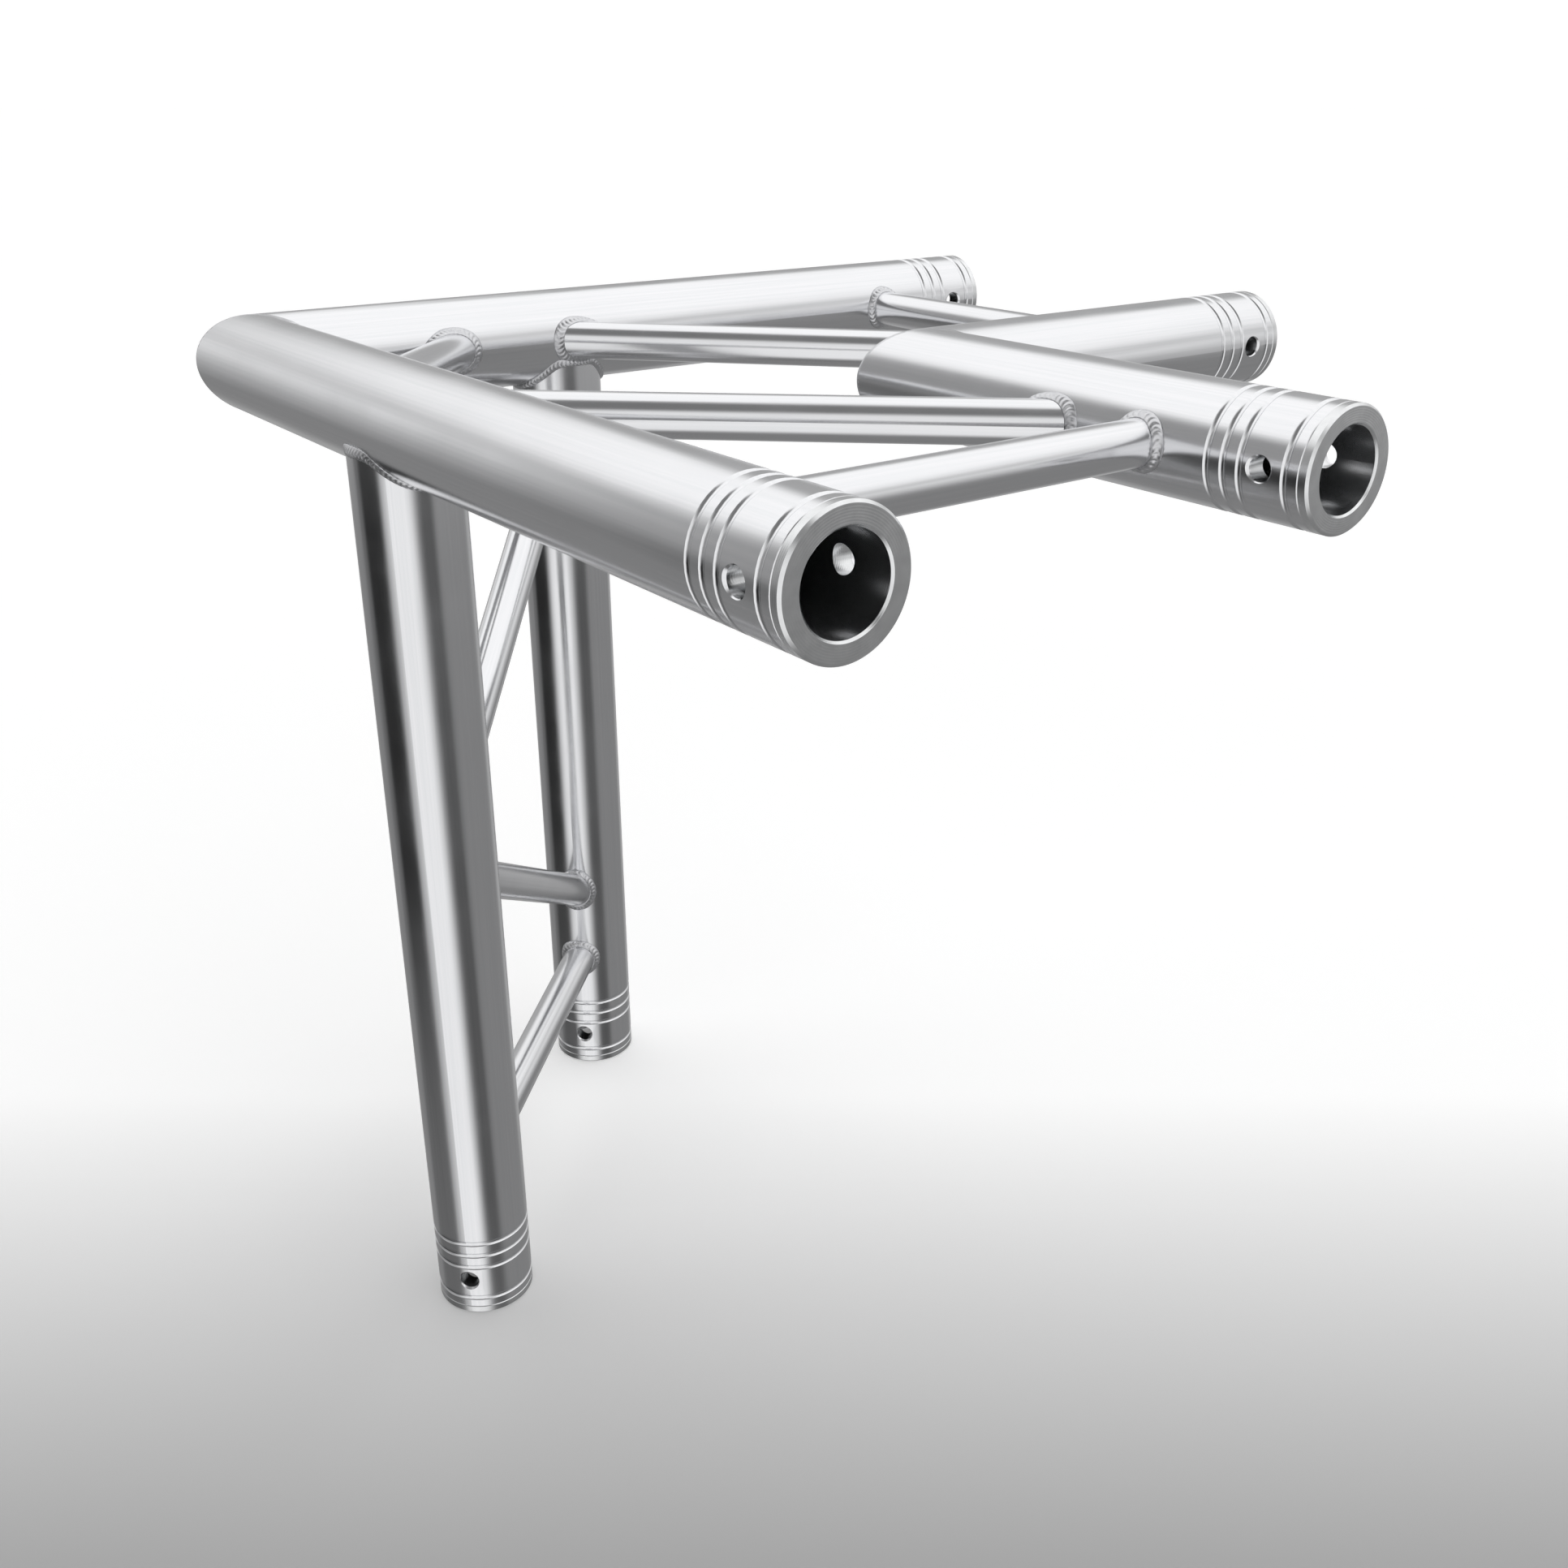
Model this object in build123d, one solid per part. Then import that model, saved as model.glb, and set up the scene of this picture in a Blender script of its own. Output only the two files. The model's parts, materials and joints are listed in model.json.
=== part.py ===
from build123d import *
import os
from math import sqrt

# A welded aluminium ladder truss corner: two flat ladder arms meet at a right angle, and a third
# ladder hangs down between them as a leg. Each ladder is two chord tubes, thinner brace tubes
# between them, and a conical socket with a cross pin hole in each chord's open end.
#
# Millimetres, +Z up. The origin is midway between the two leg mouths, on the plane where the leg
# seats on what carries it. The arms run along +X and +Y from the corner.

# The three ladders
arm_length = 500.0             # from the corner's outside to an arm's mouths
leg_length = 500.0             # from the corner's top to the leg's mouths
chord_spacing = 240.0          # axis to axis, in all three ladders

# Tubes
chord_diameter = 50.0
chord_wall = 2.0
brace_diameter = 20.0
brace_wall = 2.0

# Brace places, along a ladder, on the chords' axes
corner_brace_place = 120.0     # both feet, from the corner's axes
arm_diagonal_lead = 20.0       # foot on the outer chord, before the leg chord's axis
arm_diagonal_gap = 27.0        # foot on the inner chord, before the end brace
leg_upper_high_place = 51.0    # upper diagonal's high foot, below the arms' axes
leg_upper_low_place = 194.0    # upper diagonal's low foot
leg_lower_high_place = 221.0   # lower diagonal's high foot
leg_lower_gap = 36.0           # lower diagonal's low foot, above the end brace
end_brace_setback = 81.0       # every end brace, from the mouths

# Receivers: the turned sockets in the chord ends
flange_thickness = 4.5         # the lip that the tube's end butts against
insert_clearance = 0.05        # receiver to tube wall, on the radius
socket_mouth_radius = 17.0
socket_end_radius = 14.5
mouth_outer_chamfer = 1.0
mouth_inner_chamfer = 0.8
receiver_lead = 1.5            # chamfer on the hidden end
seam_chamfer = 0.3             # on the lip and the tube's end, where they butt
receiver_tail = 11.0           # past the last rolled groove

# Cross pin hole and the grooves rolled through the tube into the receiver
pin_hole_diameter = 10.0
pin_hole_chamfer = 1.0         # depth of the countersink at each end
pin_setback = 22.0             # from the mouth
front_groove_gap = 11.5        # from the pin hole's axis towards the mouth
rear_groove_gap = 9.0          # from the pin hole's axis inwards
rear_groove_pitch = 7.75
rear_groove_count = 3
groove_width = 3.2
groove_depth = 0.8
groove_clearance = 0.1         # receiver groove to tube ridge
cutter_margin = 0.5            # how far a countersink's cutter stands out of the tube

# Welds
weld_leg = 3.0                 # fillet weld size
mitre_weld_width = 3.0         # full weld between mitred chords, ground flush
saddle_trim = 12.0             # thin horns cut off the leg chords' coped tops, below the axis

# Worked out from the sizes above
chord_radius = chord_diameter / 2
chord_bore_radius = chord_radius - chord_wall
brace_radius = brace_diameter / 2
arm_reach = arm_length - chord_radius
leg_reach = leg_length - chord_radius
leg_offset = chord_spacing / sqrt(2)
arm_diagonal_place = leg_offset - arm_diagonal_lead
arm_end_brace_place = arm_reach - end_brace_setback
leg_end_brace_place = leg_reach - end_brace_setback
arm_diagonal_end_place = arm_end_brace_place - arm_diagonal_gap
leg_lower_low_place = leg_end_brace_place - leg_lower_gap
receiver_radius = chord_bore_radius - insert_clearance
front_groove_place = pin_setback - front_groove_gap
rear_groove_place = pin_setback + rear_groove_gap
groove_places = [front_groove_place] + [
    rear_groove_place + turn * rear_groove_pitch for turn in range(rear_groove_count)
]
receiver_length = groove_places[-1] + receiver_tail
across_leg = Vector(1, -1, 0)


def place(x, y, drop=0.0):
    """A point given from the outer chords' crossing, with drop measured downwards."""
    return Vector(x - leg_offset / 2, y - leg_offset / 2, leg_reach - drop)


def rod(ends, radius):
    """A solid round bar between two points."""
    start, end = ends
    bar = Cylinder(radius, (end - start).length, align=(Align.CENTER, Align.CENTER, Align.MIN))
    return Plane(origin=start, z_dir=end - start) * bar


def first_half(ends):
    """The first half of a line, from its start."""
    start, end = ends
    return start, (start + end) * 0.5


def reverse(ends):
    """The same line from its other end."""
    return ends[1], ends[0]


# Each chord's axis runs from its mouth inwards.
chord_lines = {
    "outer_chord_x": (place(arm_reach, 0), place(-chord_radius, 0)),
    "outer_chord_y": (place(0, arm_reach), place(0, -chord_radius)),
    "inner_chord_x": (place(arm_reach, chord_spacing), place(chord_spacing - chord_radius, chord_spacing)),
    "inner_chord_y": (place(chord_spacing, arm_reach), place(chord_spacing, chord_spacing - chord_radius)),
    "leg_chord_x": (place(leg_offset, 0, leg_reach), place(leg_offset, 0, saddle_trim)),
    "leg_chord_y": (place(0, leg_offset, leg_reach), place(0, leg_offset, saddle_trim)),
}

# The pin hole lies in its ladder's plane, square to the chord.
pin_directions = {
    "outer_chord_x": Vector(0, 1, 0),
    "outer_chord_y": Vector(1, 0, 0),
    "inner_chord_x": Vector(0, 1, 0),
    "inner_chord_y": Vector(1, 0, 0),
    "leg_chord_x": across_leg,
    "leg_chord_y": across_leg,
}

# Each brace: its axis between two chord axes, and the chords it lands on at its start and end.
braces = {
    "corner_brace": (
        (place(corner_brace_place, 0), place(0, corner_brace_place)),
        ("outer_chord_x", "outer_chord_y"),
    ),
    "arm_diagonal_x": (
        (place(arm_diagonal_place, 0), place(arm_diagonal_end_place, chord_spacing)),
        ("outer_chord_x", "inner_chord_x"),
    ),
    "arm_diagonal_y": (
        (place(0, arm_diagonal_place), place(chord_spacing, arm_diagonal_end_place)),
        ("outer_chord_y", "inner_chord_y"),
    ),
    "arm_end_brace_x": (
        (place(arm_end_brace_place, 0), place(arm_end_brace_place, chord_spacing)),
        ("outer_chord_x", "inner_chord_x"),
    ),
    "arm_end_brace_y": (
        (place(0, arm_end_brace_place), place(chord_spacing, arm_end_brace_place)),
        ("outer_chord_y", "inner_chord_y"),
    ),
    "leg_upper_diagonal": (
        (place(0, leg_offset, leg_upper_high_place), place(leg_offset, 0, leg_upper_low_place)),
        ("leg_chord_y", "leg_chord_x"),
    ),
    "leg_lower_diagonal": (
        (place(leg_offset, 0, leg_lower_high_place), place(0, leg_offset, leg_lower_low_place)),
        ("leg_chord_x", "leg_chord_y"),
    ),
    "leg_end_brace": (
        (place(leg_offset, 0, leg_end_brace_place), place(0, leg_offset, leg_end_brace_place)),
        ("leg_chord_x", "leg_chord_y"),
    ),
}


def mouth_plane(chord):
    """At a chord's mouth: Z points out of the mouth and X along the pin hole."""
    mouth, inside = chord_lines[chord]
    return Plane(origin=mouth, x_dir=pin_directions[chord], z_dir=mouth - inside)


def grooved_edge(radius, depth, half_width, start, stop):
    """A line along the tube, from start to stop behind the mouth, that dips at each groove."""
    edges = []
    here = (radius, -start)
    for groove in groove_places:
        before = (radius, -(groove - half_width))
        after = (radius, -(groove + half_width))
        edges.append(Line(here, before))
        edges.append(ThreePointArc(before, (radius - depth, -groove), after))
        here = after
    edges.append(Line(here, (radius, -stop)))
    return edges


def turned(edges):
    """A solid of revolution about Z from a closed outline of radius and height."""
    outline = Plane.XZ * make_face(edges)
    return revolve(outline, axis=Axis.Z)


def pin_hole():
    """The cross pin hole's cutter, in the mouth's frame: a drill with a countersink at each end."""
    hole_radius = pin_hole_diameter / 2
    straight_end = chord_radius - pin_hole_chamfer
    flare = pin_hole_chamfer + cutter_margin
    drill = Cylinder(hole_radius, 2 * straight_end)
    sink = Cone(hole_radius, hole_radius + flare, flare, align=(Align.CENTER, Align.CENTER, Align.MIN))
    drill += Pos(0, 0, straight_end) * sink
    drill += Pos(0, 0, -straight_end) * Rot(180, 0, 0) * sink
    return Pos(0, 0, -pin_setback) * Rot(0, 90, 0) * drill


def chord_tube(chord):
    """The chord's tube before its inner end is cut: rolled grooves and pin hole at the mouth."""
    mouth, inside = chord_lines[chord]
    length = (mouth - inside).length
    half_width = groove_width / 2
    chamfer_end = flange_thickness + seam_chamfer
    outside = grooved_edge(chord_radius, groove_depth, half_width, chamfer_end, length)
    bore = grooved_edge(chord_bore_radius, groove_depth, half_width, flange_thickness, length)
    butt = Polyline(
        (chord_bore_radius, -flange_thickness),
        (chord_radius - seam_chamfer, -flange_thickness),
        (chord_radius, -chamfer_end),
    )
    far_end = Line((chord_bore_radius, -length), (chord_radius, -length))
    wall = turned(outside + bore + [butt, far_end])
    return mouth_plane(chord) * (wall - pin_hole())


def receiver(chord):
    """The turned socket: a lip at the mouth, a body inside the tube and a conical hole."""
    neck = grooved_edge(
        receiver_radius,
        groove_depth + groove_clearance,
        groove_width / 2 + groove_clearance,
        flange_thickness,
        receiver_length - receiver_lead,
    )
    taper = (socket_mouth_radius - socket_end_radius) / receiver_length
    chamfer_radius = socket_mouth_radius - taper * mouth_inner_chamfer
    lip_and_hole = Polyline(
        (receiver_radius, -flange_thickness),
        (chord_radius - seam_chamfer, -flange_thickness),
        (chord_radius, -(flange_thickness - seam_chamfer)),
        (chord_radius, -mouth_outer_chamfer),
        (chord_radius - mouth_outer_chamfer, 0),
        (chamfer_radius + mouth_inner_chamfer, 0),
        (chamfer_radius, -mouth_inner_chamfer),
        (socket_end_radius, -receiver_length),
        (receiver_radius - receiver_lead, -receiver_length),
        (receiver_radius, -(receiver_length - receiver_lead)),
    )
    body = turned(neck + [lip_and_hole])
    return mouth_plane(chord) * (body - pin_hole())


def mitre(chord_x, chord_y):
    """Two chords cut on the corner's bisecting plane, and the flush weld that joins them."""
    bisector = Plane(origin=place(0, 0), z_dir=across_leg)
    half_width = mitre_weld_width / 2
    x_side = split(chord_tube(chord_x), bisect_by=bisector, keep=Keep.TOP)
    y_side = split(chord_tube(chord_y), bisect_by=bisector, keep=Keep.BOTTOM)
    x_cut = bisector.offset(half_width)
    y_cut = bisector.offset(-half_width)
    weld = split(x_side, bisect_by=x_cut, keep=Keep.BOTTOM) + split(y_side, bisect_by=y_cut, keep=Keep.TOP)
    return (
        split(x_side, bisect_by=x_cut, keep=Keep.TOP),
        split(y_side, bisect_by=y_cut, keep=Keep.BOTTOM),
        weld,
    )


def brace_tube(name):
    """A brace, coped to the outside of every chord that it meets."""
    ends, chords = braces[name]
    tube = rod(ends, brace_radius) - rod(ends, brace_radius - brace_wall)
    for line in chord_lines.values():
        tube -= rod(line, chord_radius)
    return tube


def brace_weld(ends, chord):
    """The fillet weld round a brace's foot on a chord, for the end that the line starts at."""
    foot = first_half(ends)
    bead = rod(foot, brace_radius + weld_leg) & rod(chord_lines[chord], chord_radius + weld_leg)
    bead -= rod(foot, brace_radius)
    for line in chord_lines.values():
        bead -= rod(line, chord_radius)
    return bead


def leg_weld(leg_chord, arm_chord, neighbour):
    """The fillet weld round a leg chord's coped top, stopped by the arm diagonal's foot."""
    mouth, top = chord_lines[leg_chord]
    leg_line = (mouth, top + Vector(0, 0, weld_leg))
    arm_line = chord_lines[arm_chord]
    bead = rod(leg_line, chord_radius + weld_leg) & rod(arm_line, chord_radius + weld_leg)
    bead -= rod(chord_lines[leg_chord], chord_radius)
    bead -= rod(arm_line, chord_radius)
    return bead - rod(first_half(braces[neighbour][0]), brace_radius + weld_leg)


def leg_tube(leg_chord, arm_chord):
    """A leg chord, coped to the underside of the arm chord above it."""
    return chord_tube(leg_chord) - rod(chord_lines[arm_chord], chord_radius)


def build_parts():
    """Every piece by name."""
    parts = {}
    for level in ("outer", "inner"):
        names = (f"{level}_chord_x", f"{level}_chord_y")
        parts[names[0]], parts[names[1]], parts[f"{level}_mitre_weld"] = mitre(*names)
    for side in ("x", "y"):
        parts[f"leg_chord_{side}"] = leg_tube(f"leg_chord_{side}", f"outer_chord_{side}")
        parts[f"leg_weld_{side}"] = leg_weld(
            f"leg_chord_{side}", f"outer_chord_{side}", f"arm_diagonal_{side}"
        )
    for chord in chord_lines:
        parts[chord.replace("chord", "receiver")] = receiver(chord)
    for name, (ends, chords) in braces.items():
        parts[name] = brace_tube(name)
        parts[f"{name}_weld_start"] = brace_weld(ends, chords[0])
        parts[f"{name}_weld_end"] = brace_weld(reverse(ends), chords[1])
    return parts


os.makedirs("parts", exist_ok=True)
for name, shape in build_parts().items():
    export_step(shape, f"parts/{name}.step")
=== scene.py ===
import json
import math
import random

import bpy
import numpy as np
from mathutils import Matrix, Vector


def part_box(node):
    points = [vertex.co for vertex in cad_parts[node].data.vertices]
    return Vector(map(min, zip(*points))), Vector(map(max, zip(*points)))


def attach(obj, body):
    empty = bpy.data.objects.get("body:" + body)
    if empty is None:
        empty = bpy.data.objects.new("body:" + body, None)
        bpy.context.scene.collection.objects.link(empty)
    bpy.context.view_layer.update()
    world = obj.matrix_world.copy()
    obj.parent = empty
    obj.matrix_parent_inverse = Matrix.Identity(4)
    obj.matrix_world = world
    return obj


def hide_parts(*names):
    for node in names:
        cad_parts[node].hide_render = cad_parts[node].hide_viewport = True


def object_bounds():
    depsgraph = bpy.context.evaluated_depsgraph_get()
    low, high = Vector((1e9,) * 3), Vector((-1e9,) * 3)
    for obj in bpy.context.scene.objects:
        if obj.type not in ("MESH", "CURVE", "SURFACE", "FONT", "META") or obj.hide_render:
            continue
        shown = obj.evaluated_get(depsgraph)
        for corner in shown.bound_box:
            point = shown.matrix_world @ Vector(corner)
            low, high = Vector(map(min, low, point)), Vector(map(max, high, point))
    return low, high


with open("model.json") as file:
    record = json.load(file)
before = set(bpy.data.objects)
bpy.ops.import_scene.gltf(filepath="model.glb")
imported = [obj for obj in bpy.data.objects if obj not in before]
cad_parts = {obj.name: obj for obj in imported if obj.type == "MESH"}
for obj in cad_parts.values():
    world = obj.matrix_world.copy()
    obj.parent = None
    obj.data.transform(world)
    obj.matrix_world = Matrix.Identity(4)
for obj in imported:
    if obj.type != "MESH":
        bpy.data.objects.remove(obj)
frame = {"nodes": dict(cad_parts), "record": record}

# A welded aluminium ladder truss corner. The tubes and the turned receivers are the CAD's own
# pieces with better materials; the welds are made here as rippled beads. Metres throughout.

MM = 0.001
CAD_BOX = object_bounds()
NODES = frame["nodes"]
MOUNTS = {mount["name"]: mount for mount in frame["record"]["mounts"]}

# Camera: where it stands, where it looks and its lens.
CAMERA_PLACE = Vector((0.7291, -0.3622, 0.6089))
CAMERA_HEADING = math.radians(53.13)     # turned left from looking along +Y
CAMERA_DROP = math.radians(24.23)        # looking down
CAMERA_LENS = 36.08                      # millimetres, as is the sensor's width
CAMERA_SENSOR = 36.0

# Fillet welds, laid with a filler rod dipped at every step.
FILLET_LEG = 3.2 * MM
SADDLE_LEG = 2.3 * MM          # the leg chords' welds are thinner
FILLET_FULLNESS = 0.72         # 0.5 is a flat fillet, more is convex
RIPPLE_PITCH = 2.4 * MM        # one dip of the rod
RIPPLE_HEIGHT = 0.42 * MM
RIPPLE_BOW = 0.9               # how far each ripple curves, in ripples
TOE_SINK = 0.06 * MM           # a bead's edges sink this far into the tubes
LEG_WANDER = 0.09              # how far a bead's width wanders, as a share of it
WANDER_WAVES = (2, 3, 5, 9)    # turns of that wander round the foot
SADDLE_TRIM = 12.0 * MM        # the leg chords' coped tops stop this far below the arm's axis
SADDLE_SHARPNESS = 8           # how tightly the bead turns over the trimmed top
CURVE_STEPS = 720              # points on a foot's curve before they are spread evenly
STEPS_PER_RIPPLE = 8
STEPS_ACROSS = 10

# Finding a tube's direction: passes, and the cosine under which a face runs along the tube.
AXIS_PASSES = 4
SQUARE_ENOUGH = 0.02

# Ground welds between the mitred chords.
SEAM_HALF_WIDTH = 2.4 * MM
SEAM_CROWN = 0.12 * MM
SEAM_DEPTH = 1.9 * MM
SEAM_STEPS = 160

# The studio's light by elevation in degrees, and the cards that hang in front of it, as
# (bearing, width, elevation, height, brightness, edge softness) in degrees.
LIGHT = [
    (-90, 0.24), (-15, 0.25), (-5, 0.46), (8, 0.84), (16, 0.64), (26, 1.04), (40, 1.16), (90, 1.16),
]
CARDS = [
    (-28, 110, 58, 50, 0.2, 12),       # dark ceiling above the camera
    (170, 38, -2, 70, 0.42, 6),        # grey wall behind, to the right
    (-167, 40, -12, 58, 0.40, 7),      # grey wall behind, to the left
    (-82, 62, 8, 48, 0.33, 7),         # dim wall to the left
    (-80, 62, -42, 70, 0.15, 7),       # dark cloth under it
    (-72, 46, -20, 22, 0.02, 6),       # black flag
    (43, 32, -25, 44, 0.1, 8),         # black flag to the right
    (-12, 56, -22, 84, 1.0, 12),       # white card at the camera
]
# The floor's tone on the way from the object to the camera, in metres, as painted shade: white,
# grey painted shade in the front of the picture where the light falls off, and slowly white once more
# out of it.
FLOOR_PAINTED_SHADE_TONES = [
    (-0.055, "#fcfcfc"), (0.303, "#a9a9a9"), (0.4, "#a1a1a1"), (0.52, "#a0a0a0"), (0.75, "#afafaf"),
    (1.2, "#d6d6d6"), (1.8, "#f4f4f4"), (2.6, "#fcfcfc"),
]
# The floor glows with its own painted tone, as painted light that lifts it towards white.
FLOOR_GLOW = 0.19
FLOOR_REACH = 40.0             # its radius
BACKDROP_HEIGHT = 60.0
STAGE_STEPS = 96


def linear(code):
    """An sRGB hex colour as linear RGBA."""
    values = [int(code[i:i + 2], 16) / 255 for i in (1, 3, 5)]
    toned = [v / 12.92 if v <= 0.04045 else ((v + 0.055) / 1.055) ** 2.4 for v in values]
    return (*toned, 1.0)


def add_node(tree, kind, settings=None, **links):
    """Adds a node. Settings are attributes; links are sockets, each a value or another socket."""
    node = tree.nodes.new(kind)
    for key, value in (settings or {}).items():
        setattr(node, key, value)
    for key, value in links.items():
        place = int(key[1:]) if key[1:].isdigit() else key.replace("_", " ")
        socket = node.inputs[place]
        if isinstance(value, bpy.types.NodeSocket):
            tree.links.new(value, socket)
        else:
            socket.default_value = value
    return node


# --------------------------------------------------------------------------- materials

def new_metal(name, roughness):
    """A bare metal to build on: its node tree and its shader."""
    material = bpy.data.materials.new(name)
    material.use_nodes = True
    shader = material.node_tree.nodes["Principled BSDF"]
    shader.inputs["Metallic"].default_value = 1.0
    shader.inputs["Roughness"].default_value = roughness
    return material, material.node_tree, shader


def set_ramp(ramp, stops):
    """Gives a colour ramp its stops, as (place, colour)."""
    elements = ramp.color_ramp.elements
    while len(elements) < len(stops):
        elements.new(0.5)
    for element, (position, colour) in zip(elements, stops):
        element.position = position
        element.color = colour


def extruded_aluminium(name, direction):
    """Aluminium tube, extruded through a die and left bare.

    The die leaves fine lines along the tube, which blur reflections across it and keep them
    sharp along it. Handling leaves faint soft clouds in the gloss.
    """
    material, tree, shader = new_metal(name, 0.2)
    along = direction.to_track_quat("Z", "Y").inverted().to_euler()
    place = add_node(tree, "ShaderNodeTexCoord")
    turned = add_node(
        tree, "ShaderNodeMapping", {"vector_type": "POINT"},
        Vector=place.outputs["Object"], Rotation=along,
    )
    # Lines 1.2 mm wide and 150 mm long: real ones are finer, and would be lost in the render.
    line_width = 1.2 * MM
    line_length = 150 * MM
    stretched = add_node(
        tree, "ShaderNodeMapping", {"vector_type": "POINT"}, Vector=turned.outputs["Vector"],
        Scale=(1 / line_width, 1 / line_width, 1 / line_length),
    )
    lines = add_node(
        tree, "ShaderNodeTexNoise", None, Vector=stretched.outputs["Vector"], Scale=1.0, Detail=3.0
    )
    cloud_size = 45 * MM
    clouds = add_node(
        tree, "ShaderNodeTexNoise", None,
        Vector=place.outputs["Object"], Scale=1 / cloud_size, Detail=4.0,
    )
    tone = add_node(tree, "ShaderNodeValToRGB", None, Fac=lines.outputs["Fac"])
    set_ramp(tone, [(0.3, linear("#e3e4e6")), (0.7, linear("#e9e9eb"))])
    tree.links.new(tone.outputs["Color"], shader.inputs["Base Color"])
    gloss = add_node(
        tree, "ShaderNodeMapRange", None, Value=clouds.outputs["Fac"],
        From_Min=0.3, From_Max=0.7, To_Min=0.15, To_Max=0.23,
    )
    tree.links.new(gloss.outputs["Result"], shader.inputs["Roughness"])
    relief = add_node(
        tree, "ShaderNodeBump", None, Height=lines.outputs["Fac"], Strength=0.05, Distance=0.02 * MM
    )
    tree.links.new(relief.outputs["Normal"], shader.inputs["Normal"])
    return material


def turned_aluminium(name, centre, direction):
    """Aluminium bar turned on a lathe.

    The tool's feed leaves fine rings round the axis, so highlights run out along it, and the
    face of the mouth shows faint circles.
    """
    material, tree, shader = new_metal(name, 0.24)
    axis_turn = direction.to_track_quat("Z", "Y").inverted()
    place = add_node(tree, "ShaderNodeTexCoord")
    centred = add_node(
        tree, "ShaderNodeVectorMath", {"operation": "SUBTRACT"}, i0=place.outputs["Object"], i1=centre
    )
    turned = add_node(
        tree, "ShaderNodeMapping", {"vector_type": "POINT"}, Vector=centred.outputs["Vector"],
        Rotation=axis_turn.to_euler(),
    )
    # Feed marks 0.9 mm apart: a finishing cut leaves 0.1 mm, which would not show.
    feed = 0.9 * MM
    part = add_node(tree, "ShaderNodeSeparateXYZ", None, Vector=turned.outputs["Vector"])
    radius = add_node(
        tree, "ShaderNodeVectorMath", {"operation": "LENGTH"},
        i0=add_node(
            tree, "ShaderNodeCombineXYZ", None, X=part.outputs["X"], Y=part.outputs["Y"]
        ).outputs["Vector"],
    )
    reach = add_node(
        tree, "ShaderNodeMath", {"operation": "ADD"}, i0=radius.outputs["Value"], i1=part.outputs["Z"]
    )
    phase = add_node(
        tree, "ShaderNodeMath", {"operation": "MULTIPLY"},
        i0=reach.outputs["Value"], i1=2 * math.pi / feed,
    )
    rings = add_node(tree, "ShaderNodeMath", {"operation": "SINE"}, i0=phase.outputs["Value"])
    grain_size = 6 * MM
    grain = add_node(
        tree, "ShaderNodeTexNoise", None,
        Vector=place.outputs["Object"], Scale=1 / grain_size, Detail=4.0,
    )
    tone = add_node(tree, "ShaderNodeValToRGB", None, Fac=grain.outputs["Fac"])
    set_ramp(tone, [(0.3, linear("#dcddde")), (0.7, linear("#e8e9ea"))])
    tree.links.new(tone.outputs["Color"], shader.inputs["Base Color"])
    relief = add_node(
        tree, "ShaderNodeBump", None, Height=rings.outputs["Value"], Strength=0.15, Distance=0.03 * MM
    )
    tree.links.new(relief.outputs["Normal"], shader.inputs["Normal"])
    return material


def welded_aluminium():
    """Aluminium filler as it froze in the arc, cleaned by the arc's own etching.

    The surface is finely frosted, so ripples catch soft light on their crests.
    """
    material, tree, shader = new_metal("aluminium_weld_as_laid", 0.36)
    place = add_node(tree, "ShaderNodeTexCoord")
    frost_size = 1.5 * MM
    frost = add_node(
        tree, "ShaderNodeTexNoise", None,
        Vector=place.outputs["Object"], Scale=1 / frost_size, Detail=5.0,
    )
    tone = add_node(tree, "ShaderNodeValToRGB", None, Fac=frost.outputs["Fac"])
    set_ramp(tone, [(0.3, linear("#c6c7ca")), (0.7, linear("#e0e0e2"))])
    tree.links.new(tone.outputs["Color"], shader.inputs["Base Color"])
    gloss = add_node(
        tree, "ShaderNodeMapRange", None, Value=frost.outputs["Fac"],
        From_Min=0.3, From_Max=0.7, To_Min=0.28, To_Max=0.45,
    )
    tree.links.new(gloss.outputs["Result"], shader.inputs["Roughness"])
    relief = add_node(
        tree, "ShaderNodeBump", None, Height=frost.outputs["Fac"], Strength=0.2, Distance=0.08 * MM
    )
    tree.links.new(relief.outputs["Normal"], shader.inputs["Normal"])
    return material


def ground_aluminium():
    """Aluminium weld ground flush with a flap disc and brushed.

    Short crossed scratches make it a little duller than the tubes beside it.
    """
    material, tree, shader = new_metal("aluminium_weld_ground_flush", 0.27)
    place = add_node(tree, "ShaderNodeTexCoord")
    # Scratches 0.8 mm wide and 12 mm long, coarser than real grit so that they show.
    scratch_width = 0.8 * MM
    scratch_length = 12 * MM
    scratch = add_node(
        tree, "ShaderNodeMapping", {"vector_type": "POINT"}, Vector=place.outputs["Object"],
        Rotation=(0, 0, math.radians(45)),
        Scale=(1 / scratch_width, 1 / scratch_length, 1 / scratch_width),
    )
    marks = add_node(
        tree, "ShaderNodeTexNoise", None, Vector=scratch.outputs["Vector"], Scale=1.0, Detail=3.0
    )
    tone = add_node(tree, "ShaderNodeValToRGB", None, Fac=marks.outputs["Fac"])
    set_ramp(tone, [(0.3, linear("#d6d7da")), (0.7, linear("#e6e6e8"))])
    tree.links.new(tone.outputs["Color"], shader.inputs["Base Color"])
    relief = add_node(
        tree, "ShaderNodeBump", None, Height=marks.outputs["Fac"], Strength=0.15, Distance=0.03 * MM
    )
    tree.links.new(relief.outputs["Normal"], shader.inputs["Normal"])
    return material


def paint(piece, material):
    """Gives a piece one material."""
    piece.data.materials.clear()
    piece.data.materials.append(material)


# --------------------------------------------------------------------------- reading the frame

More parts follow.
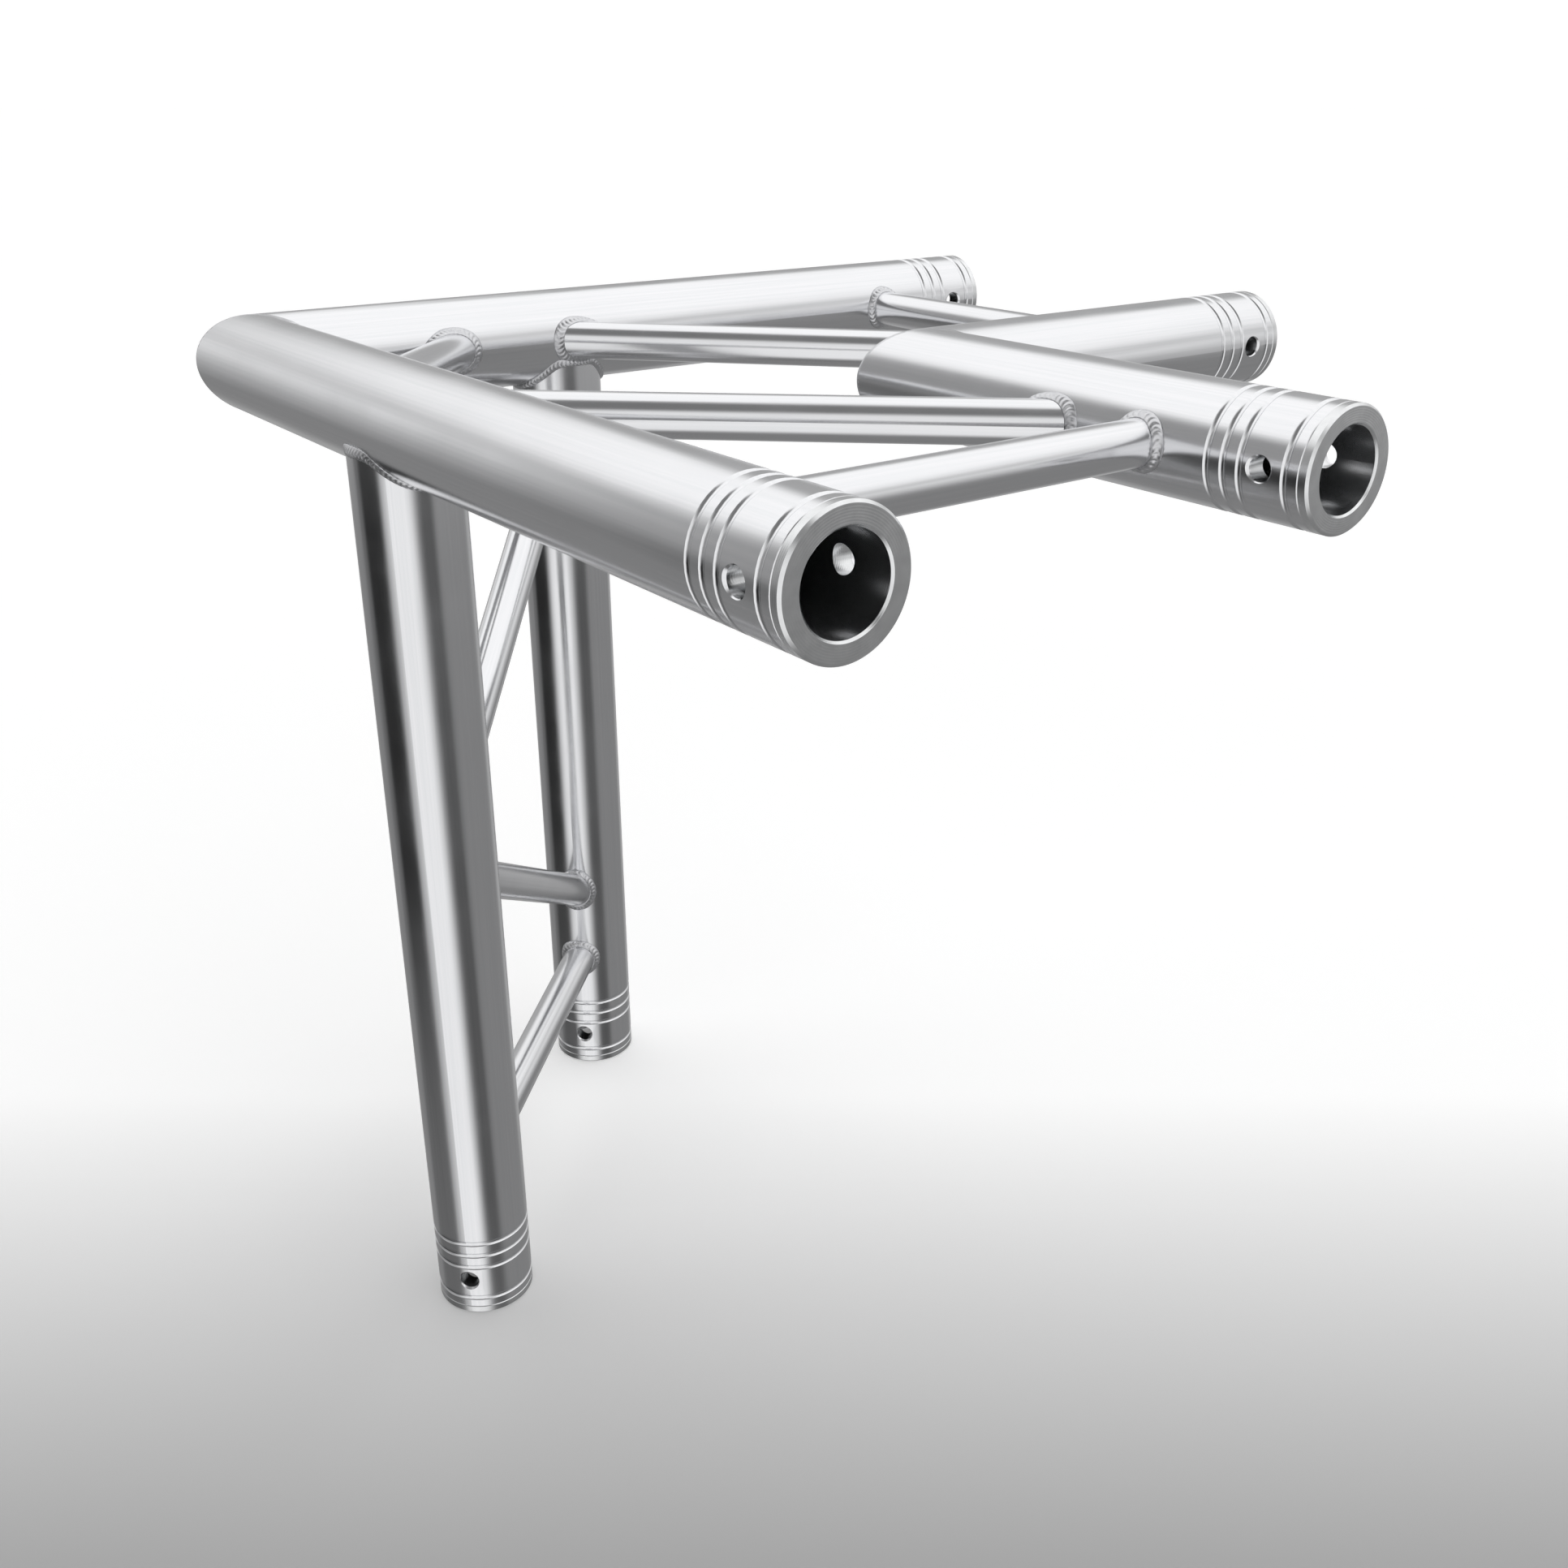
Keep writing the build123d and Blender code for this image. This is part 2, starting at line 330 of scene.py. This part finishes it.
def tube_axis(node):
    """A tube's centre and direction: the direction is square to all its long faces.

    The centre is midway between the tube's outermost points along it and across it.
    """
    mesh = NODES[node].data
    normals = np.array([face.normal for face in mesh.polygons])
    areas = np.array([face.area for face in mesh.polygons])
    side = np.ones(len(areas), bool)
    for _ in range(AXIS_PASSES):
        spread = (normals[side] * areas[side, None]).T @ normals[side]
        direction = np.linalg.eigh(spread)[1][:, 0]
        side = abs(normals @ direction) < SQUARE_ENOUGH
    direction = Vector(direction)
    side_way = direction.orthogonal().normalized()
    centre = Vector()
    for way in (direction, side_way, direction.cross(side_way)):
        places = [vertex.co.dot(way) for vertex in mesh.vertices]
        centre += way * (min(places) + max(places)) / 2
    return centre, direction


def tube_radius(node, centre, direction):
    """A tube's outside radius."""
    return max(
        (vertex.co - centre).cross(direction).length for vertex in NODES[node].data.vertices
    )


def chord_axis(chord):
    """A chord's axis point, its direction out of the mouth and its radius, from its socket mount."""
    socket = MOUNTS[chord.replace("_chord", "") + "_socket"]
    low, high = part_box(chord)
    direction = Vector(socket["axis"])
    across = min(range(3), key=lambda i: abs(high[i] - low[i]))
    return Vector(socket["pos_m"]), direction, (high[across] - low[across]) / 2


# --------------------------------------------------------------------------- meshes

def new_piece(name, vertices, faces, material, slot_name, *replaced):
    """A smooth mesh piece that rides on the corner and stands for CAD nodes."""
    mesh = bpy.data.meshes.new(name)
    mesh.from_pydata([tuple(v) for v in vertices], [], faces)
    mesh.update()
    for face in mesh.polygons:
        face.use_smooth = True
    piece = bpy.data.objects.new(name, mesh)
    bpy.context.scene.collection.objects.link(piece)
    paint(piece, material)
    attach(piece, "root")
    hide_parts(*replaced)
    return piece


def ring_faces(rings, points):
    """Quads between closed rings of points, the last ring joined to the first."""
    faces = []
    for i in range(rings):
        following = (i + 1) % rings
        for j in range(points):
            beside = (j + 1) % points
            faces.append((
                i * points + j, i * points + beside, following * points + beside, following * points + j
            ))
    return faces


def on_cylinder(point, origin, direction, radius):
    """The point moved straight towards or away from an axis, to a radius from it."""
    along = (point - origin).dot(direction)
    foot = origin + direction * along
    return foot + (point - foot).normalized() * radius


def foot_curve(tube, chord, steps, trim):
    """Where a tube's outside meets a chord's outside, with each point's two surface normals.

    The curve stays at least the trim short of the chord's axis, as a trimmed cope does.
    """
    origin, direction, radius = tube
    chord_origin, chord_direction, chord_radius = chord
    side = direction.orthogonal().normalized()
    other = direction.cross(side)
    flat_direction = direction - chord_direction * direction.dot(chord_direction)
    points = []
    for step in range(steps):
        turn = 2 * math.pi * step / steps
        spoke = side * math.cos(turn) + other * math.sin(turn)
        start = origin + spoke * radius - chord_origin
        flat_start = start - chord_direction * start.dot(chord_direction)
        a = flat_direction.length_squared
        b = flat_start.dot(flat_direction)
        c = flat_start.length_squared - chord_radius ** 2
        reach = math.sqrt(max(b * b - a * c, 0.0))
        root = (reach ** SADDLE_SHARPNESS + (trim * a) ** SADDLE_SHARPNESS) ** (1 / SADDLE_SHARPNESS)
        point = origin + spoke * radius + direction * ((root - b) / a)
        away = point - chord_origin
        away -= chord_direction * away.dot(chord_direction)
        points.append((point, spoke, away.normalized()))
    return points


def even_steps(curve, steps):
    """The same closed curve with its points spread evenly along its length."""
    places = [point for point, spoke, away in curve]
    lengths = [0.0]
    for i in range(len(places)):
        lengths.append(lengths[-1] + (places[(i + 1) % len(places)] - places[i]).length)
    even = []
    index = 0
    for step in range(steps):
        wanted = lengths[-1] * step / steps
        while lengths[index + 1] < wanted:
            index += 1
        share = (wanted - lengths[index]) / (lengths[index + 1] - lengths[index])
        first = curve[index]
        second = curve[(index + 1) % len(curve)]
        even.append(tuple(p.lerp(q, share) for p, q in zip(first, second)))
    return even, lengths[-1]


def fillet_bead(name, tube, chord, material, node, fillet_leg=FILLET_LEG, trim=0.0):
    """A rippled fillet weld round a tube's foot on a chord."""
    chance = random.Random(name)
    curve = foot_curve(tube, chord, CURVE_STEPS, trim)
    length = even_steps(curve, 1)[1]
    ripples = round(length / RIPPLE_PITCH)
    steps = ripples * STEPS_PER_RIPPLE
    curve = even_steps(curve, steps)[0]
    waves = [(k, chance.uniform(0, 2 * math.pi)) for k in WANDER_WAVES]
    vertices = []
    for step in range(steps):
        point, spoke, away = curve[step]
        spoke = spoke.normalized()
        away = away.normalized()
        tangent = (curve[(step + 1) % steps][0] - curve[step - 1][0]).normalized()
        up_tube = spoke.cross(tangent).normalized()
        if up_tube.dot(tube[1]) < 0:
            up_tube.negate()
        over_chord = away.cross(tangent).normalized()
        if over_chord.dot(spoke - tube[1]) < 0:
            over_chord.negate()
        share = step / steps
        wander = sum(math.sin(2 * math.pi * k * share + phase) / k for k, phase in waves)
        leg = fillet_leg * (1 + LEG_WANDER * wander)
        tube_toe = on_cylinder(point + up_tube * leg, tube[0], tube[1], tube[2] - TOE_SINK)
        chord_toe = on_cylinder(point + over_chord * leg, chord[0], chord[1], chord[2] - TOE_SINK)
        crown = point + (up_tube + over_chord) * leg * FILLET_FULLNESS
        outward = (up_tube + over_chord).normalized()
        for i in range(STEPS_ACROSS + 1):
            v = i / STEPS_ACROSS
            centred = 2 * v - 1
            place = tube_toe * (1 - v) ** 2 + crown * 2 * v * (1 - v) + chord_toe * v ** 2
            ripple = abs(math.sin(math.pi * (ripples * share + RIPPLE_BOW * centred ** 2)))
            place += outward * RIPPLE_HEIGHT * (ripple - 0.5) * (1 - centred ** 2)
            vertices.append(place)
        vertices.append(point - outward * 2 * TOE_SINK)
    faces = ring_faces(steps, STEPS_ACROSS + 2)
    return new_piece(name, vertices, faces, material, "weld_bead", node)


def ground_seam(name, corner, radius, material, node):
    """The ground weld between two chords mitred at a right angle, along +X and +Y."""
    vertices = []
    for step in range(SEAM_STEPS):
        turn = 2 * math.pi * step / SEAM_STEPS
        level = radius * math.cos(turn)
        height = radius * math.sin(turn)
        point = corner + Vector((level, level, height))
        outward = Vector((level, level, height)).normalized()
        x_toe = point + Vector((SEAM_HALF_WIDTH, 0, 0))
        y_toe = point + Vector((0, SEAM_HALF_WIDTH, 0))
        inner = 1 - SEAM_DEPTH / radius
        for i in range(STEPS_ACROSS + 1):
            v = i / STEPS_ACROSS
            place = x_toe * (1 - v) ** 2 + point * 2 * v * (1 - v) + y_toe * v ** 2
            vertices.append(place + outward * SEAM_CROWN * 4 * v * (1 - v))
        deep = corner + Vector((level * inner, level * inner, height * inner))
        vertices.append(deep + Vector((0, SEAM_HALF_WIDTH / 2, 0)))
        vertices.append(deep + Vector((SEAM_HALF_WIDTH / 2, 0, 0)))
    faces = ring_faces(SEAM_STEPS, STEPS_ACROSS + 3)
    return new_piece(name, vertices, faces, material, "ground_weld", node)


# --------------------------------------------------------------------------- the object

CHORDS = [node for node in NODES if "_chord_" in node]
BRACES = [node for node in NODES if "weld" not in node and ("brace" in node or "diagonal" in node)]
RECEIVERS = [node for node in NODES if "_receiver_" in node]


def finish_tubes():
    """Extruded aluminium on every chord and brace."""
    for chord in CHORDS:
        paint(NODES[chord], extruded_aluminium(f"extruded_aluminium_{chord}", chord_axis(chord)[1]))
    for brace in BRACES:
        paint(NODES[brace], extruded_aluminium(f"extruded_aluminium_{brace}", tube_axis(brace)[1]))


def finish_receivers():
    """Turned aluminium on every receiver."""
    for receiver in RECEIVERS:
        centre, direction, radius = chord_axis(receiver.replace("receiver", "chord"))
        paint(NODES[receiver], turned_aluminium(f"turned_aluminium_{receiver}", centre, direction))


def nearest_chord(point):
    """The chord whose axis passes nearest to a point."""
    def gap(chord):
        origin, direction, radius = chord_axis(chord)
        low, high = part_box(chord)
        inside = Vector(min(max(point[i], low[i]), high[i]) for i in range(3))
        return (point - inside).length
    return min(CHORDS, key=gap)


def weld_braces(material):
    """A rippled bead round both feet of every brace."""
    for brace in BRACES:
        centre, direction = tube_axis(brace)
        radius = tube_radius(brace, centre, direction)
        for end in ("start", "end"):
            node = f"{brace}_weld_{end}"
            low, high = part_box(node)
            foot = (low + high) / 2
            inward = direction if (centre - foot).dot(direction) > 0 else -direction
            chord = chord_axis(nearest_chord(foot))
            fillet_bead(f"{node}_bead", (centre, inward, radius), chord, material, node)


def weld_legs(material):
    """A rippled bead round each leg chord's coped top."""
    for side in ("x", "y"):
        mouth, outward, radius = chord_axis(f"leg_chord_{side}")
        arm = chord_axis(f"outer_chord_{side}")
        node = f"leg_weld_{side}"
        fillet_bead(
            f"{node}_bead", (mouth, outward, radius), arm, material, node, SADDLE_LEG, SADDLE_TRIM
        )


def weld_mitres(material):
    """The two ground seams where the arms' chords meet."""
    for level in ("outer", "inner"):
        x_origin, x_direction, radius = chord_axis(f"{level}_chord_x")
        y_origin = chord_axis(f"{level}_chord_y")[0]
        corner = Vector((y_origin.x, x_origin.y, x_origin.z))
        node = f"{level}_mitre_weld"
        ground_seam(f"{node}_seam", corner, radius, material, node)


# --------------------------------------------------------------------------- studio

def make_camera():
    """The camera, level, at its place."""
    heading = CAMERA_HEADING
    drop = CAMERA_DROP
    forward = Vector((
        -math.sin(heading) * math.cos(drop), math.cos(heading) * math.cos(drop), -math.sin(drop)
    ))
    right = Vector((math.cos(heading), math.sin(heading), 0))
    turn = Matrix((right, right.cross(forward), -forward)).transposed()
    data = bpy.data.cameras.new("camera")
    data.lens = CAMERA_LENS
    data.sensor_width = CAMERA_SENSOR
    data.clip_start = 0.01
    data.clip_end = 200
    camera = bpy.data.objects.new("camera", data)
    camera.matrix_world = Matrix.Translation(CAMERA_PLACE) @ turn.to_4x4()
    bpy.context.scene.collection.objects.link(camera)
    bpy.context.scene.camera = camera


def stage_ring(height):
    """Points round the floor's rim, at a height above it."""
    points = []
    for i in range(STAGE_STEPS):
        turn = 2 * math.pi * i / STAGE_STEPS
        level = CAD_BOX[0][2] + height
        points.append((FLOOR_REACH * math.cos(turn), FLOOR_REACH * math.sin(turn), level))
    return points


def set_stage(name, vertices, faces, material):
    """A piece of the studio, which the metal does not reflect."""
    mesh = bpy.data.meshes.new(name)
    mesh.from_pydata(vertices, [], faces)
    piece = bpy.data.objects.new(name, mesh)
    bpy.context.scene.collection.objects.link(piece)
    paint(piece, material)
    piece.visible_glossy = False
    return piece


def make_floor():
    """A wide pale floor under the leg's mouths, with a soft grey band of painted shade across the
    front; it glows faintly with painted light.
    """
    material = bpy.data.materials.new("matt_white_studio_paper")
    material.use_nodes = True
    tree = material.node_tree
    shader = tree.nodes["Principled BSDF"]
    shader.inputs["Roughness"].default_value = 0.9
    shader.inputs["Specular IOR Level"].default_value = 0.0
    place = add_node(tree, "ShaderNodeTexCoord")
    front = Vector((math.sin(CAMERA_HEADING), -math.cos(CAMERA_HEADING), 0))
    towards_front = add_node(
        tree, "ShaderNodeVectorMath", {"operation": "DOT_PRODUCT"},
        i0=place.outputs["Object"], i1=front,
    )
    first = FLOOR_PAINTED_SHADE_TONES[0][0]
    last = FLOOR_PAINTED_SHADE_TONES[-1][0]
    falloff = add_node(
        tree, "ShaderNodeMapRange", None, Value=towards_front.outputs["Value"],
        From_Min=first, From_Max=last, To_Min=0.0, To_Max=1.0,
    )
    # Painted shade: the ramp darkens the floor to grey towards the camera, where the light falls off.
    tone = add_node(tree, "ShaderNodeValToRGB", None, Fac=falloff.outputs["Result"])
    set_ramp(tone, [((reach - first) / (last - first), linear(code)) for reach, code in FLOOR_PAINTED_SHADE_TONES])
    tree.links.new(tone.outputs["Color"], shader.inputs["Base Color"])
    # The same painted shade feeds the glow, so the floor glows with painted light.
    tree.links.new(tone.outputs["Color"], shader.inputs["Emission Color"])
    shader.inputs["Emission Strength"].default_value = FLOOR_GLOW
    set_stage("floor", stage_ring(0), [tuple(range(STAGE_STEPS))], material)


def make_backdrop():
    """A white wall at the floor's rim, lit from behind, that lights and hides nothing else."""
    material = bpy.data.materials.new("white_backlit_fabric")
    material.use_nodes = True
    shader = material.node_tree.nodes["Principled BSDF"]
    shader.inputs["Specular IOR Level"].default_value = 0.0
    shader.inputs["Emission Color"].default_value = linear("#ffffff")
    shader.inputs["Emission Strength"].default_value = 1.0
    faces = []
    for i in range(STAGE_STEPS):
        beside = (i + 1) % STAGE_STEPS
        faces.append((i, beside, beside + STAGE_STEPS, i + STAGE_STEPS))
    wall = set_stage("backdrop", stage_ring(0) + stage_ring(BACKDROP_HEIGHT), faces, material)
    wall.visible_diffuse = False
    wall.visible_shadow = False


def hang_card(tree, behind, bearing, width, elevation, height, tone, softness):
    """A soft-edged card in the surroundings: its middle, its size and its edges in degrees.

    Bearings are from the object, 0 towards the camera and positive to the camera's right.
    """
    sky = add_node(tree, "ShaderNodeTexCoord").outputs["Generated"]
    towards_camera = math.atan2(-math.cos(CAMERA_HEADING), math.sin(CAMERA_HEADING))
    turned = add_node(
        tree, "ShaderNodeVectorRotate", {"rotation_type": "Z_AXIS"}, Vector=sky,
        Angle=-towards_camera - math.radians(bearing),
    )
    part = add_node(tree, "ShaderNodeSeparateXYZ", None, Vector=turned.outputs["Vector"])
    around = add_node(
        tree, "ShaderNodeMath", {"operation": "ARCTAN2"}, i0=part.outputs["Y"], i1=part.outputs["X"]
    )
    up = add_node(tree, "ShaderNodeMath", {"operation": "ARCSINE"}, i0=part.outputs["Z"])
    from_middle = add_node(
        tree, "ShaderNodeMath", {"operation": "SUBTRACT"},
        i0=up.outputs["Value"], i1=math.radians(elevation),
    )
    cover = None
    for offset, size in ((around, width), (from_middle, height)):
        away = add_node(
            tree, "ShaderNodeMath", {"operation": "ABSOLUTE"}, i0=offset.outputs["Value"]
        )
        edge = add_node(
            tree, "ShaderNodeMapRange", {"interpolation_type": "SMOOTHSTEP"},
            Value=away.outputs["Value"],
            From_Min=math.radians(size / 2 - softness), From_Max=math.radians(size / 2 + softness),
            To_Min=1.0, To_Max=0.0,
        ).outputs["Result"]
        if cover is None:
            cover = edge
        else:
            both = add_node(tree, "ShaderNodeMath", {"operation": "MULTIPLY"}, i0=cover, i1=edge)
            cover = both.outputs["Value"]
    mixed = add_node(
        tree, "ShaderNodeMix", {"data_type": "RGBA"}, i0=cover, i6=behind, i7=(tone, tone, tone, 1.0)
    )
    return mixed.outputs[2]


def make_surroundings():
    """Soft white light from above and white and black cards round the object, as the metal sees."""
    world = bpy.data.worlds.new("studio")
    bpy.context.scene.world = world
    world.use_nodes = True
    tree = world.node_tree
    background = tree.nodes["Background"]
    place = add_node(tree, "ShaderNodeTexCoord")
    part = add_node(tree, "ShaderNodeSeparateXYZ", None, Vector=place.outputs["Generated"])
    up = add_node(
        tree, "ShaderNodeMapRange", None, Value=part.outputs["Z"], From_Min=-1.0, From_Max=1.0
    )
    overhead = add_node(tree, "ShaderNodeValToRGB", None, Fac=up.outputs["Result"])
    stops = []
    for elevation, tone in LIGHT:
        stops.append((0.5 + 0.5 * math.sin(math.radians(elevation)), (tone, tone, tone, 1.0)))
    set_ramp(overhead, stops)
    seen = overhead.outputs["Color"]
    for card in CARDS:
        seen = hang_card(tree, seen, *card)
    tree.links.new(seen, background.inputs["Color"])
    background.inputs["Strength"].default_value = 1.0


finish_tubes()
finish_receivers()
bead_material = welded_aluminium()
weld_braces(bead_material)
weld_legs(bead_material)
weld_mitres(ground_aluminium())
make_camera()
make_floor()
make_backdrop()
make_surroundings()
bpy.context.scene.view_settings.view_transform = "Standard"
